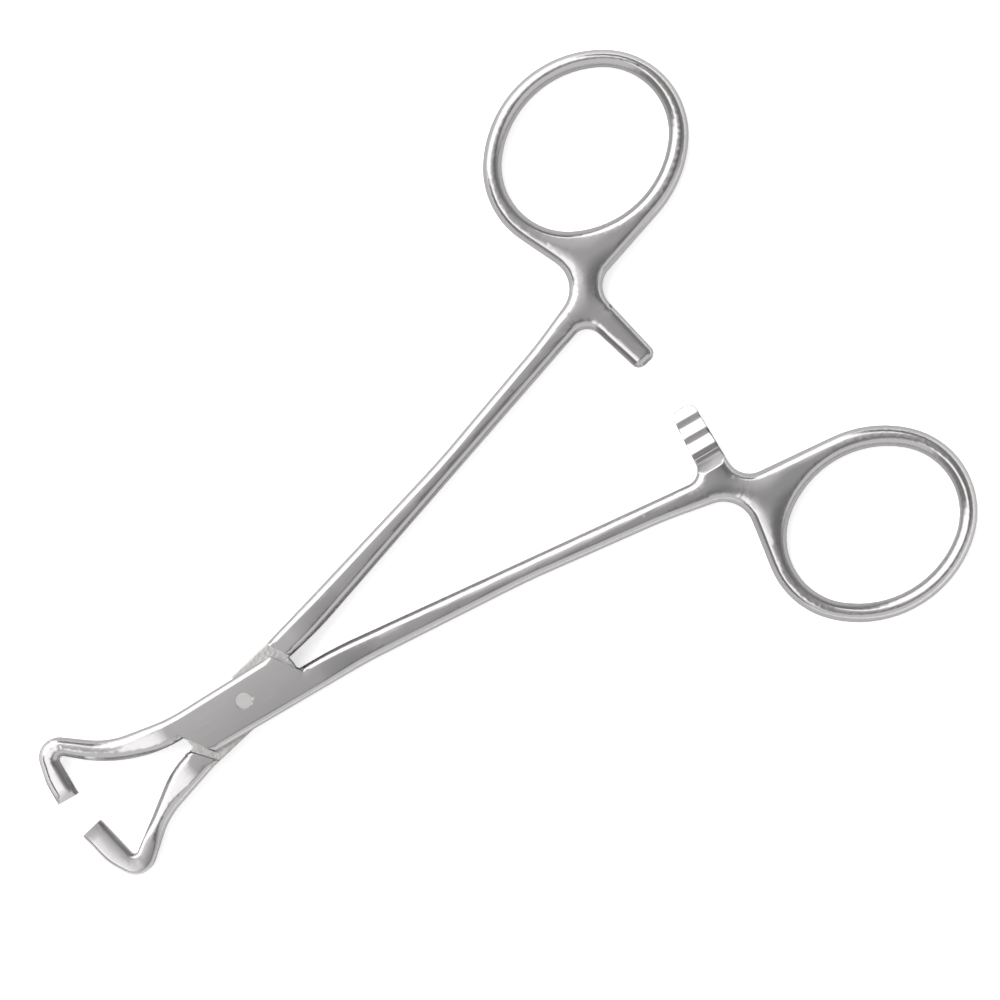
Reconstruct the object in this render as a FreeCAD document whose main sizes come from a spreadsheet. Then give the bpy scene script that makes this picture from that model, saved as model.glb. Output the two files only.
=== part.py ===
import FreeCAD, Part
import math
import os
import Sketcher
from FreeCAD import Placement, Rotation, Vector

# Non-perforating towel clamp: two crossed arms on a box lock, a three-step ratchet
# and two finger rings.
#
# Frame: the origin is on the pivot axis in the flat underside of the lock, +Z is the
# pivot axis, and +Y runs towards the rings, midway between the two arms.
# Each arm is drawn as it lies when the clamp is shut, along +Y, and is then turned
# about the pivot by half of the angle at which it rests open.
# "Ring side" is the side of an arm where its own finger ring is, "jaw side" the other.

os.makedirs("parts", exist_ok=True)
doc = FreeCAD.newDocument("towel_clamp")
sheet = doc.addObject("Spreadsheet::Sheet", "sizes")

# Driving sizes, in millimetres and degrees.
driving_sizes = {
    "rest_angle": (12.7, "angle between the two arms at rest, 0 when they lie parallel"),
    # lock
    "lock_thickness": (4.6, "thickness of the box and of the shoulders beside it"),
    "box_ring_edge": (4.2, "pivot axis to the long edge of the box, ring side"),
    "box_jaw_edge": (3.65, "pivot axis to the long edge of the box, jaw side"),
    "box_top_corner": (6.25, "pivot axis to the upper corner of the plates, along the arm"),
    "box_top_notch": (8.9, "pivot axis to the notch where the shank leaves the box"),
    "box_low_corner": (7.4, "pivot axis to the lower corner of the plates"),
    "box_low_notch": (10.1, "pivot axis to the notch where the jaw leaves the box"),
    "midline_gap": (0.08, "distance that each shank keeps from the closing line"),
    "rail_inside": (2.5, "pivot axis to the inner face of the two side rails"),
    "rail_end": (2.25, "pivot axis to the end of each side rail, along the arm"),
    "tongue_thickness": (1.6, "thickness of the tongue that passes through the box"),
    "tongue_play": (0.05, "clearance of the tongue to each plate and rail"),
    "tongue_end_play": (0.15, "clearance of the rounded tongue ends to the box"),
    "tongue_step": (0.9, "pivot axis to the steps in the sides of the tongue"),
    "tongue_ring_edge": (3.7, "pivot axis to the outer edge of the tongue, ring side"),
    "tongue_jaw_edge": (3.92, "pivot axis to the outer edge of the tongue, jaw side"),
    "shoulder_top_outer": (7.7, "upper shoulder of the tongue arm at its outer edge"),
    "shoulder_top_inner": (9.15, "upper shoulder of the tongue arm at the closing line"),
    "shoulder_low_outer": (8.5, "lower shoulder of the tongue arm at its outer edge"),
    "shoulder_low_inner": (10.75, "lower shoulder of the tongue arm at the closing line"),
    # rivet
    "rivet_diameter": (1.9, "shaft of the pivot rivet"),
    "rivet_head_diameter": (2.25, "spread rivet end, ground flush with the plates"),
    "rivet_head_depth": (0.35, "depth of the countersink that the rivet end fills"),
    "rivet_play": (0.03, "radial running clearance of the rivet in the tongue"),
    # shank
    "arm_thickness": (3.4, "thickness of shank, ratchet root and finger ring"),
    "shank_bevel": (0.75, "bevel along the edges of shank, ratchet bar and finger ring"),
    "shank_length": (76.85, "pivot axis to the upper edge of the ratchet bar"),
    "shank_bend_round": (60.0, "radius of the bend on the inside of the shank"),
    "shank_bend": (14.9, "pivot axis to the bend on the inside of the shank"),
    "shank_root_end": (18.0, "pivot axis to the end of the wide root of the shank"),
    "shank_root_width": (3.9, "width of the shank at the end of its root"),
    "shank_root_round": (100.0, "radius of the outer edge at the end of the root"),
    "waist_place": (44.0, "pivot axis to the waist of the shank"),
    "waist_width": (2.95, "width of the shank at its waist"),
    "waist_round": (150.0, "radius of the outer edge at the waist"),
    "flare_length": (7.55, "length over which the shank widens to the ratchet bar"),
    "flare_width": (3.3, "width of the shank where it starts to widen"),
    "flare_round": (60.0, "radius of the outer edge where the shank starts to widen"),
    "thinning_start": (11.5, "pivot axis to where the lock starts to thin to the shank"),
    "thinning_length": (9.0, "length over which the lock thins to the shank"),
    # ratchet
    "ratchet_root_width": (4.3, "width of the ratchet bar at its root"),
    "ratchet_root": (5.95, "closing line to the root of the ratchet bar"),
    "ratchet_reach": (4.3, "distance that the ratchet bar passes the closing line"),
    "ratchet_tip_width": (3.6, "width of the ratchet bar at its tip"),
    "ratchet_tip_round": (1.25, "corner radius of the ratchet tip, in plan"),
    "tooth_pitch": (2.48, "distance between two ratchet teeth"),
    "tooth_first": (-2.6, "closing line to the crest of the tooth at the tip"),
    "tooth_count": (3, "number of ratchet teeth"),
    "tooth_depth": (0.8, "depth of the ratchet teeth"),
    "tooth_face": (0.8, "width of the steep face of a tooth, seen from above"),
    "ratchet_play": (0.06, "gap between each row of crests and the middle plane"),
    "ratchet_ramp_end": (5.65, "closing line to the top of the ramp behind the teeth"),
    # finger ring
    "ring_side": (24.06, "closing line to the centre of the finger hole"),
    "box_ring_rise": (13.3, "ratchet bar up to the centre of the finger hole, box arm"),
    "tongue_ring_rise": (12.55, "ratchet bar up to the centre of the finger hole, tongue arm"),
    "ring_hole_width": (21.35, "finger hole across the arm"),
    "ring_hole_length": (25.8, "finger hole along the arm"),
    "ring_hole_end_round": (9.45, "radius of the two ends of the oval finger hole"),
    "ring_wire_inner": (3.2, "width of the ring beside the closing line"),
    "ring_wire_outer": (2.6, "width of the ring on the side away from the closing line"),
    "ring_wire_end": (2.55, "width of the ring at the far end of the arm"),
    "ring_wire_neck": (2.95, "width of the ring at the neck"),
    "neck_outer_side": (10.6, "closing line to the outer corner of the neck"),
    "neck_outer_drop": (0.65, "ratchet bar down to the outer corner of the neck"),
    "neck_inner_side": (8.9, "closing line to the inner corner of the neck"),
    "neck_outer_round": (4.5, "radius of the outer hollow between shank and ring"),
    "neck_inner_round": (3.5, "radius of the inner hollow between ratchet and ring"),
    "ratchet_hollow_round": (2.2, "radius of the hollow between shank and ratchet"),
    # jaws
    "jaw_thickness": (3.0, "thickness of the hooked ends of the jaws"),
    "jaw_thinning_start": (12.0, "pivot axis to where the lock starts to thin to the jaw"),
    "jaw_thinning_length": (8.0, "length over which the lock thins to the jaw"),
    "box_jaw_waist_side": (3.2, "closing line to the outer flank at the jaw root, box arm"),
    "box_jaw_waist": (11.0, "pivot axis to the outer flank at the jaw root, box arm"),
    "box_knee_side": (4.75, "closing line to the outer knee of the box arm's jaw"),
    "box_knee": (20.0, "pivot axis to the outer knee of the box arm's jaw"),
    "box_knee_lean": (36.3, "lean of the outer flank between knee and heel, box arm"),
    "box_heel_round": (2.9, "outer radius of the heel of the box arm's jaw"),
    "box_hook_lean": (12.0, "lean of the back of the hook next to the heel, box arm"),
    "box_hook_bow": (4.0, "closing line to where the back of the hook starts to lean"),
    "box_jaw_root": (0.3, "closing line to the inside of the box arm's jaw root"),
    "box_bend_in": (18.85, "pivot axis to the inner bend of the box arm's jaw"),
    "box_bend_in_lean": (41.0, "lean of the inner flank of the box arm's jaw"),
    "box_bend_in_round": (21.0, "radius of the inner bend of the box arm's jaw"),
    "box_jaw_reach": (30.55, "pivot axis to the end of the box arm's jaw"),
    "box_hook_width": (3.28, "width of the hook of the box arm's jaw"),
    "box_tip_gap": (0.55, "gap that the box arm's tip keeps from the closing line"),
    "tongue_jaw_waist_side": (3.98, "closing line to the outer flank at the jaw root, tongue arm"),
    "tongue_jaw_waist": (10.5, "pivot axis to the outer flank at the jaw root, tongue arm"),
    "tongue_knee_side": (4.87, "closing line to the outer knee of the tongue arm's jaw"),
    "tongue_knee": (19.3, "pivot axis to the outer knee of the tongue arm's jaw"),
    "tongue_knee_lean": (28.3, "lean of the outer flank between knee and heel, tongue arm"),
    "tongue_heel_round": (2.9, "outer radius of the heel of the tongue arm's jaw"),
    "tongue_hook_lean": (19.0, "lean of the back of the hook next to the heel, tongue arm"),
    "tongue_hook_bow": (3.6, "closing line to where the back of the hook starts to lean"),
    "tongue_jaw_root": (0.0, "closing line to the inside of the tongue arm's jaw root"),
    "tongue_bend_in": (14.2, "pivot axis to the inner bend of the tongue arm's jaw"),
    "tongue_bend_in_lean": (24.6, "lean of the inner flank of the tongue arm's jaw"),
    "tongue_bend_in_round": (14.5, "radius of the inner bend of the tongue arm's jaw"),
    "tongue_jaw_reach": (30.15, "pivot axis to the end of the tongue arm's jaw"),
    "tongue_hook_width": (3.35, "width of the hook of the tongue arm's jaw"),
    "tongue_tip_gap": (-1.65, "negative, because this tip reaches past the closing line"),
    "jaw_waist_round": (25.0, "radius of the outer flank at the root of both jaws"),
    "knee_round": (12.0, "radius of the outer knee of both jaws"),
    "hook_bow_round": (8.0, "radius of the bow in the back of both hooks"),
    "hook_inner_round": (0.6, "inner radius of the hooks"),
    "jaw_edge_round": (0.9, "rounding along the edges of the jaws"),
}

for row, (alias, (value, note)) in enumerate(driving_sizes.items(), 1):
    sheet.set(f"A{row}", alias)
    sheet.set(f"B{row}", str(value))
    sheet.set(f"C{row}", note)
    sheet.setAlias(f"B{row}", alias)
doc.recompute()


def size(alias):
    return float(sheet.get(alias))


middle = size("lock_thickness") / 2


def origin_plane(body, role):
    return next(item for item in body.Origin.OriginFeatures if item.Role == role)


def new_body(name):
    body = doc.addObject("PartDesign::Body", name)
    body.Label = name
    return body


def new_sketch(body, name, role="XY_Plane", lift=0.0):
    sketch = body.newObject("Sketcher::SketchObject", name)
    sketch.AttachmentSupport = (origin_plane(body, role), [""])
    sketch.MapMode = "FlatFace"
    sketch.AttachmentOffset = Placement(Vector(0, 0, lift), Rotation())
    return sketch


# A corner is (x, y, radius): straight lines run from corner to corner, and each corner
# with a radius is rounded by an arc tangent to both lines. Where arcs are given, they
# join the last corner to the first in place of a straight line.
def draw_outline(sketch, corners, arcs=()):
    points = [Vector(x, y, 0) for x, y, _ in corners]
    count = len(corners)
    stations = []
    for index, (x, y, radius) in enumerate(corners):
        here = points[index]
        if radius == 0:
            stations.append((here, None, here))
            continue
        back = (points[index - 1] - here).normalize()
        ahead = (points[(index + 1) % count] - here).normalize()
        half_angle = back.getAngle(ahead) / 2
        reach = radius / math.tan(half_angle)
        inward = (back + ahead).normalize()
        apex = here + inward * (radius / math.sin(half_angle) - radius)
        stations.append((here + back * reach, apex, here + ahead * reach))
    pieces = []
    for index, (start, apex, end) in enumerate(stations):
        if apex is not None:
            pieces.append(Part.Arc(start, apex, end))
        if index < count - 1 or not arcs:
            pieces.append(Part.LineSegment(end, stations[(index + 1) % count][0]))
    pieces += [Part.Arc(*points) for points in arcs]
    sketch.addGeometry(pieces, False)


def add_pad(body, sketch, length, name, midplane=False):
    pad = body.newObject("PartDesign::Pad", name)
    pad.Profile = sketch
    pad.setExpression("Length", length)
    pad.SideType = "Symmetric" if midplane else "One side"
    return pad


def add_pocket(body, sketch, length, name):
    pocket = body.newObject("PartDesign::Pocket", name)
    pocket.Profile = sketch
    pocket.setExpression("Length", length)
    pocket.SideType = "Symmetric"
    return pocket


# An oval of four tangent arcs: a large arc on each side and a smaller one at each end.
# A point on it is named by the direction in which the curve faces there, in radians
# anticlockwise from +X. Each stretch is (first direction, last direction, centre, radius).
def oval_stretches(centre, half_across, half_along, end_round):
    narrower = half_across - end_round
    longer = half_along - end_round
    side_round = end_round + (narrower ** 2 + longer ** 2) / (2 * narrower)
    turn = math.atan2(longer, side_round - half_across)
    sideways = Vector(side_round - half_across, 0, 0)
    upward = Vector(0, longer, 0)
    return [
        (-turn, turn, centre - sideways, side_round),
        (turn, math.pi - turn, centre + upward, end_round),
        (math.pi - turn, math.pi + turn, centre + sideways, side_round),
        (math.pi + turn, 2 * math.pi - turn, centre - upward, end_round),
    ]


def facing(centre, radius, direction):
    return centre + Vector(radius * math.cos(direction), radius * math.sin(direction), 0)


# Part of the oval between two directions, as arcs given by three points each.
def oval_arcs(stretches, start, stop):
    arcs = []
    full_turn = 2 * math.pi
    if stop <= start:
        stop += full_turn
    for lap in (0, full_turn):
        for first, last, centre, radius in stretches:
            begin = max(first + lap, start)
            end = min(last + lap, stop)
            if end > begin:
                places = (begin, (begin + end) / 2, end)
                arcs.append([facing(centre, radius, direction) for direction in places])
    return arcs


# Direction in which the oval faces where a straight line from an outside point touches
# it. "turn" is +1 for the touching line on the anticlockwise side and -1 for the other.
def oval_touch(stretches, point, turn):
    for first, last, centre, radius in stretches:
        away = point - centre
        if away.Length <= radius:
            continue
        direction = math.atan2(away.y, away.x) + turn * math.acos(radius / away.Length)
        while direction < first:
            direction += 2 * math.pi
        if direction <= last:
            return direction, facing(centre, radius, direction)
    raise RuntimeError("no line from this point touches the ring")


# Centre of the finger hole of an arm whose ring is at +X.
def hole_centre(arm):
    return Vector(size("ring_side"), size("shank_length") + size(f"{arm}_ring_rise"), 0)


# Half of the plan outline: the ring end of an arm, from the lower end of its outer edge
# to the ring and on from the ratchet bar to the inner edge of the shank, and the arcs of
# the ring that join the two. It is drawn for an arm whose ring is at +X.
def ring_outline(arm):
    ratchet_high = size("shank_length")
    ratchet_low = ratchet_high - size("ratchet_root_width")
    straight = ratchet_low - size("shank_bend")
    slope = (size("ratchet_root") - size("midline_gap")) / straight

    def outer_corner(place, width, radius):
        inner_edge = size("midline_gap") + (place - size("shank_bend")) * slope
        return inner_edge + size(width), place, size(radius)

    wires_across = (size("ring_wire_inner") + size("ring_wire_outer")) / 2
    wires_along = (size("ring_wire_end") + size("ring_wire_neck")) / 2
    ring = oval_stretches(
        hole_centre(arm) + Vector(
            size("ring_wire_outer") - wires_across,
            size("ring_wire_end") - wires_along,
            0,
        ),
        size("ring_hole_width") / 2 + wires_across,
        size("ring_hole_length") / 2 + wires_along,
        size("ring_hole_end_round") + wires_along,
    )
    neck_outer = Vector(size("neck_outer_side"), ratchet_high - size("neck_outer_drop"), 0)
    neck_inner = Vector(size("neck_inner_side"), ratchet_high, 0)
    outer_facing, outer_touch = oval_touch(ring, neck_outer, 1)
    inner_facing, inner_touch = oval_touch(ring, neck_inner, -1)
    corners = [
        (outer_touch.x, outer_touch.y, 0),
        (neck_outer.x, neck_outer.y, size("neck_outer_round")),
        outer_corner(ratchet_low - size("flare_length"), "flare_width", "flare_round"),
        outer_corner(size("waist_place"), "waist_width", "waist_round"),
        outer_corner(size("shank_root_end"), "shank_root_width", "shank_root_round"),
        "lock",
        (size("midline_gap"), size("shank_bend"), size("shank_bend_round")),
        (size("ratchet_root"), ratchet_low, size("ratchet_hollow_round")),
        (-size("ratchet_reach"), ratchet_high - size("ratchet_tip_width"), size("ratchet_tip_round")),
        (-size("ratchet_reach"), ratchet_high, size("ratchet_tip_round")),
        (neck_inner.x, neck_inner.y, size("neck_inner_round")),
        (inner_touch.x, inner_touch.y, 0),
    ]
    return corners, oval_arcs(ring, outer_facing, inner_facing)


# The other half of the plan outline: the jaw, from its inner flank round the hook to
# its outer flank. "arm" is "box" or "tongue" and picks that jaw's own sizes.
def jaw_outline(arm):
    reach = size(f"{arm}_jaw_reach")
    hook_inside = reach - size(f"{arm}_hook_width")
    tip = -size(f"{arm}_tip_gap")
    root = size(f"{arm}_jaw_root")
    bend = size(f"{arm}_bend_in")
    inner_run = (hook_inside - bend) * math.tan(math.radians(size(f"{arm}_bend_in_lean")))
    knee_x = -size(f"{arm}_knee_side")
    knee_y = -size(f"{arm}_knee")
    bow_x = -size(f"{arm}_hook_bow")
    # the heel corner is where the flank below the knee meets the leaning back of the hook
    flank_slope = math.tan(math.radians(size(f"{arm}_knee_lean")))
    hook_slope = math.tan(math.radians(size(f"{arm}_hook_lean")))
    heel_x = (knee_x - flank_slope * (knee_y + reach - hook_slope * bow_x)) / (1 + flank_slope * hook_slope)
    heel_y = -reach - hook_slope * (heel_x - bow_x)
    return [
        (root, -bend, size(f"{arm}_bend_in_round")),
        (root - inner_run, -hook_inside, size("hook_inner_round")),
        (tip, -hook_inside, 0),
        (tip, -reach, 0),
        (bow_x, -reach, size("hook_bow_round")),
        (heel_x, heel_y, size(f"{arm}_heel_round")),
        (knee_x, knee_y, size("knee_round")),
        (-size(f"{arm}_jaw_waist_side"), -size(f"{arm}_jaw_waist"), size("jaw_waist_round")),
    ]


def mirrored(corners, side):
    return [(side * x, y, radius) for x, y, radius in corners]


def mirrored_arcs(arcs, side):
    return [[Vector(side * point.x, point.y, 0) for point in arc] for arc in arcs]


# Edges to round: those where a side wall meets the upper or lower surface, apart from
# the ones that the test "crisp" names.
def rim_edges(shape, crisp):
    names = []
    for index, edge in enumerate(shape.Edges, 1):
        spot = edge.valueAt((edge.FirstParameter + edge.LastParameter) / 2)
        if crisp(spot):
            continue
        steepness = []
        for face in shape.ancestorsOfType(edge, Part.Face):
            u, v = face.Surface.parameter(spot)
            steepness.append(abs(face.normalAt(u, v).z))
        if min(steepness) < 0.01 and max(steepness) > 0.7:
            names.append(f"Edge{index}")
    return names


# A length that reaches past every end of an arm, for cuts that run right through it.
def beyond_all():
    return 2 * (size("shank_length") + 2 * size("ring_hole_length"))


# Side view of an arm: the lock is the thickest part, and the shank and the jaw thin
# out from it in an S-shaped sweep of two equal arcs, alike above and below.
def thin_down(body, name):
    sketch = new_sketch(body, name, "YZ_Plane")
    for upward in (1, -1):
        lines = []
        stretches = (
            (1, "thinning_start", "thinning_length", "arm_thickness"),
            (-1, "jaw_thinning_start", "jaw_thinning_length", "jaw_thickness"),
        )
        for way, start_name, length_name, thickness_name in stretches:
            start = size(start_name)
            length = size(length_name)
            drop = (size("lock_thickness") - size(thickness_name)) / 2
            radius = (length ** 2 + drop ** 2) / (4 * drop)
            bend = math.asin(length / 2 / radius) / 2
            near = Vector(way * start, middle + upward * middle, 0)
            half = near + Vector(way * length / 2, -upward * drop / 2, 0)
            end = near + Vector(way * length, -upward * drop, 0)
            far = Vector(way * beyond_all(), end.y, 0)
            sag = Vector(way * radius * math.sin(bend), -upward * radius * (1 - math.cos(bend)), 0)
            lines.append(Part.Arc(near, near + sag, half))
            lines.append(Part.Arc(half, end - sag, end))
            lines.append(Part.LineSegment(end, far))
            above = Vector(far.x, middle + upward * size("lock_thickness"), 0)
            rim = Vector(near.x, above.y, 0)
            lines.append(Part.LineSegment(far, above))
            lines.append(Part.LineSegment(above, rim))
            lines.append(Part.LineSegment(rim, near))
        sketch.addGeometry(lines, False)
    pocket = body.newObject("PartDesign::Pocket", name + "_cut")
    pocket.Profile = sketch
    pocket.Length = beyond_all()
    pocket.SideType = "Symmetric"
    return pocket


def add_ring_hole(body, arm, side):
    sketch = new_sketch(body, body.Name + "_hole_sketch")
    stretches = oval_stretches(
        hole_centre(arm),
        size("ring_hole_width") / 2,
        size("ring_hole_length") / 2,
        size("ring_hole_end_round"),
    )
    first_direction = stretches[0][0]
    arcs = oval_arcs(stretches, first_direction, first_direction + 2 * math.pi)
    sketch.addGeometry([Part.Arc(*points) for points in mirrored_arcs(arcs, side)], False)
    pocket = body.newObject("PartDesign::Pocket", body.Name + "_finger_hole")
    pocket.Profile = sketch
    pocket.setExpression("Length", "sizes.lock_thickness * 3")
    pocket.SideType = "Symmetric"
    return pocket


# The jaws are rounded along their edges, on the box arm together with the plate edge that
# runs on from the jaw. The shank, the ratchet bar and the ring are bevelled. "side" is +1
# for the arm whose ring is at +X and -1 for the other.
def soften_edges(body, base, side, crisp):
    def on_jaw(spot):
        return spot.y < size("box_top_corner") and side * spot.x < size("rail_inside")

    doc.recompute()
    fillet = body.newObject("PartDesign::Fillet", body.Name + "_jaw_rounding")
    fillet.Base = (base, rim_edges(base.Shape, lambda spot: crisp(spot) or not on_jaw(spot)))
    fillet.setExpression("Radius", "sizes.jaw_edge_round")
    doc.recompute()
    bevel = body.newObject("PartDesign::Chamfer", body.Name + "_shank_bevel")
    bevel.Base = (fillet, rim_edges(fillet.Shape, lambda spot: crisp(spot) or on_jaw(spot)))
    bevel.setExpression("Size", "sizes.shank_bevel")
    return bevel


# The ratchet bar is half as thick as the arm. Its teeth rise gently from the tip and
# drop steeply towards the root, and a ramp leads from the last tooth up to the arm.
# "up" is +1 for teeth that face +Z and -1 for teeth that face -Z.
def cut_ratchet(body, side, up):
    place = size("shank_length") - size("ratchet_root_width") / 2
    sketch = new_sketch(body, body.Name + "_ratchet_sketch", "XZ_Plane", -place)
    crest = middle - up * size("ratchet_play")
    valley = crest - up * size("tooth_depth")
    arm_face = middle + up * size("arm_thickness") / 2
    clear = arm_face + up * size("arm_thickness")
    beyond = -2 * size("ratchet_reach")
    first_drop = size("tooth_first")
    rise = size("tooth_depth") / (size("tooth_pitch") - size("tooth_face"))
    profile = [(beyond, clear), (beyond, crest - up * rise * (first_drop - beyond))]
    for tooth in range(int(size("tooth_count"))):
        drop = first_drop + tooth * size("tooth_pitch")
        profile.append((drop, crest))
        profile.append((drop + size("tooth_face"), valley))
    profile.append((size("ratchet_ramp_end"), arm_face))
    profile.append((size("ratchet_ramp_end"), clear))
    draw_outline(sketch, [(side * x, z, 0) for x, z in profile])
    pocket = body.newObject("PartDesign::Pocket", body.Name + "_ratchet_cut")
    pocket.Profile = sketch
    pocket.setExpression("Length", "sizes.ratchet_root_width * 2")
    pocket.SideType = "Symmetric"
    return pocket


# Half section of the rivet, a straight shaft with spread ends. The same section is cut
# out of the plates, so that the rivet sits in them face to face.
def rivet_section(body):
    sketch = new_sketch(body, body.Name + "_rivet_sketch", "XZ_Plane")
    shaft = size("rivet_diameter") / 2
    head = size("rivet_head_diameter") / 2
    depth = size("rivet_head_depth")
    top = size("lock_thickness")
    section = [(0, 0), (head, 0), (shaft, depth), (shaft, top - depth), (head, top), (0, top)]
    draw_outline(sketch, [(x, z, 0) for x, z in section])
    return sketch


def turn_section(body, kind, name):
    feature = body.newObject(kind, name)
    feature.Profile = rivet_section(body)
    feature.ReferenceAxis = (feature.Profile[0], ["V_Axis"])
    feature.Angle = 360.0
    return feature


# Box arm: ring at +X, jaw at -X, and the box with its slot at the crossing.
box_arm = new_body("box_arm")
box_sketch = new_sketch(box_arm, "box_outline")
ring_corners, ring_arcs = ring_outline("box")
split = ring_corners.index("lock")
box_corners = ring_corners[:split]
box_corners += [
    (size("box_ring_edge"), -size("box_low_corner"), 0),
    (size("box_jaw_root"), -size("box_low_notch"), 0),
]
box_corners += jaw_outline("box")
box_corners += [
    (-size("box_jaw_edge"), size("box_top_corner"), 0),
    (size("midline_gap"), size("box_top_notch"), 0),
]
box_corners += ring_corners[split + 1:]
draw_outline(box_sketch, box_corners, ring_arcs)
add_pad(box_arm, box_sketch, "sizes.lock_thickness", "box_forging")
thin_down(box_arm, "box_side_view")
box_hole = add_ring_hole(box_arm, "box", 1)


# The slanted plate ends and the cut end of each jaw keep crisp edges.
def on_box_end(spot):
    margin = size("midline_gap")
    between_edges = -size("box_jaw_edge") + margin < spot.x < size("box_ring_edge") - margin
    return between_edges and size("box_top_corner") < abs(spot.y) < size("box_low_notch")


def on_jaw_tip(spot, tip):
    return abs(spot.x - tip) < 0.01 and spot.y < -size("jaw_thinning_start")


soften_edges(
    box_arm,
    box_hole,
    1,
    lambda spot: on_box_end(spot) or on_jaw_tip(spot, -size("box_tip_gap")),
)
cut_ratchet(box_arm, 1, 1)


# The slot of the box: open on the jaw side above the pivot and on the ring side below
# it, where the tongue comes out, and closed by a side rail elsewhere. Its two end walls
# are rounded about the pivot, so that the tongue can turn.
def on_circle(radius, x, way):
    return Vector(x, way * math.sqrt(radius ** 2 - x ** 2), 0)


def circle_arc(start, end):
    halfway = (start + end).normalize() * start.Length
    return Part.Arc(start, halfway, end)


rail = size("rail_inside")
slot_pieces = []
for way, wall in ((1, size("box_top_notch")), (-1, size("box_low_notch"))):
    outside = -way * wall
    rail_tip = Vector(way * rail, way * size("rail_end"), 0)
    wall_start = on_circle(wall, way * rail, way)
    wall_end = on_circle(wall, way * size("midline_gap"), way)
    way_out = Vector(outside, wall_end.y, 0)
    way_back = Vector(outside, -rail_tip.y, 0)
    slot_pieces.append(Part.LineSegment(rail_tip, wall_start))
    slot_pieces.append(circle_arc(wall_start, wall_end))
    slot_pieces.append(Part.LineSegment(wall_end, way_out))
    slot_pieces.append(Part.LineSegment(way_out, way_back))
    slot_pieces.append(Part.LineSegment(way_back, -rail_tip))
slot_sketch = new_sketch(box_arm, "slot_outline", "XY_Plane", middle)
slot_sketch.addGeometry(slot_pieces, False)
add_pocket(box_arm, slot_sketch, "sizes.tongue_thickness + 2 * sizes.tongue_play", "slot")
turn_section(box_arm, "PartDesign::Groove", "box_rivet_seat")

# Tongue arm: the mirror image of the box arm, ring at -X and jaw at +X, with a thin
# tongue between two shoulders in place of the box. The tongue is as wide as the lock
# where it shows and narrower between the rails, and its ends are rounded about the pivot.
tongue_arm = new_body("tongue_arm")
tongue_rail = rail - size("tongue_play")
step = size("tongue_step")
ring_edge = size("tongue_ring_edge")
jaw_edge = size("tongue_jaw_edge")
buried = size("tongue_thickness") / 2
shank_line = -size("midline_gap")
jaw_line = -size("tongue_jaw_root")
top_radius = size("box_top_notch") - size("tongue_end_play")
low_radius = size("box_low_notch") - size("tongue_end_play")
top_inner = on_circle(top_radius, shank_line, 1)
top_rail = on_circle(top_radius, tongue_rail, 1)
low_inner = on_circle(low_radius, jaw_line, -1)
low_rail = on_circle(low_radius, -tongue_rail, -1)
right_side = [
    top_rail,
    Vector(tongue_rail, -step, 0),
    Vector(jaw_edge, -step, 0),
    Vector(jaw_edge, -size("shoulder_low_outer") - buried, 0),
    Vector(jaw_line, -size("shoulder_low_inner") - buried, 0),
    low_inner,
]
left_side = [
    low_rail,
    Vector(-tongue_rail, step, 0),
    Vector(-ring_edge, step, 0),
    Vector(-ring_edge, size("shoulder_top_outer") + buried, 0),
    Vector(shank_line, size("shoulder_top_inner") + buried, 0),
    top_inner,
]
tongue_pieces = [circle_arc(top_inner, top_rail), circle_arc(low_inner, low_rail)]
for flank in (right_side, left_side):
    tongue_pieces += [Part.LineSegment(start, end) for start, end in zip(flank, flank[1:])]
tongue_sketch = new_sketch(tongue_arm, "tongue_outline", "XY_Plane", middle)
tongue_sketch.addGeometry(tongue_pieces, False)
add_pad(tongue_arm, tongue_sketch, "sizes.tongue_thickness", "tongue", True)

ring_corners, ring_arcs = ring_outline("tongue")
split = ring_corners.index("lock")
shank_corners = ring_corners[:split]
shank_corners += [
    (ring_edge, size("shoulder_top_outer"), 0),
    (-shank_line, size("shoulder_top_inner"), 0),
]
shank_corners += ring_corners[split + 1:]
jaw_corners = jaw_outline("tongue")
jaw_corners += [
    (-jaw_edge, -size("shoulder_low_outer"), 0),
    (-jaw_line, -size("shoulder_low_inner"), 0),
]
halves_sketch = new_sketch(tongue_arm, "shank_and_jaw_outline")
draw_outline(halves_sketch, mirrored(shank_corners, -1), mirrored_arcs(ring_arcs, -1))
draw_outline(halves_sketch, mirrored(jaw_corners, -1))
add_pad(tongue_arm, halves_sketch, "sizes.lock_thickness", "shank_and_jaw")
thin_down(tongue_arm, "tongue_side_view")
tongue_hole = add_ring_hole(tongue_arm, "tongue", -1)


def on_tongue(spot):
    return abs(spot.z - middle) < size("tongue_thickness") / 2 + size("tongue_play")


def on_shoulder(spot):
    margin = size("midline_gap")
    between_edges = -ring_edge + margin < spot.x < jaw_edge - margin
    return between_edges and size("shoulder_top_outer") < abs(spot.y) < size("shoulder_low_inner")


soften_edges(
    tongue_arm,
    tongue_hole,
    -1,
    lambda spot: on_tongue(spot) or on_shoulder(spot) or on_jaw_tip(spot, size("tongue_tip_gap")),
)
cut_ratchet(tongue_arm, -1, -1)
hole_sketch = new_sketch(tongue_arm, "pivot_hole_sketch", "XY_Plane", middle)
hole_sketch.addGeometry(Part.Circle(Vector(0, 0, 0), Vector(0, 0, 1), 1.0), False)
hole_sketch.addConstraint(Sketcher.Constraint("Coincident", 0, 3, -1, 1))
hole_sketch.addConstraint(Sketcher.Constraint("Radius", 0, 1.0))
hole_sketch.setExpression("Constraints[1]", "sizes.rivet_diameter / 2 + sizes.rivet_play")
add_pocket(tongue_arm, hole_sketch, "sizes.lock_thickness", "pivot_hole")

# Pivot rivet: spread into the countersinks of both plates and ground flush.
pivot_rivet = new_body("pivot_rivet")
turn_section(pivot_rivet, "PartDesign::Revolution", "rivet_turned")

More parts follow.
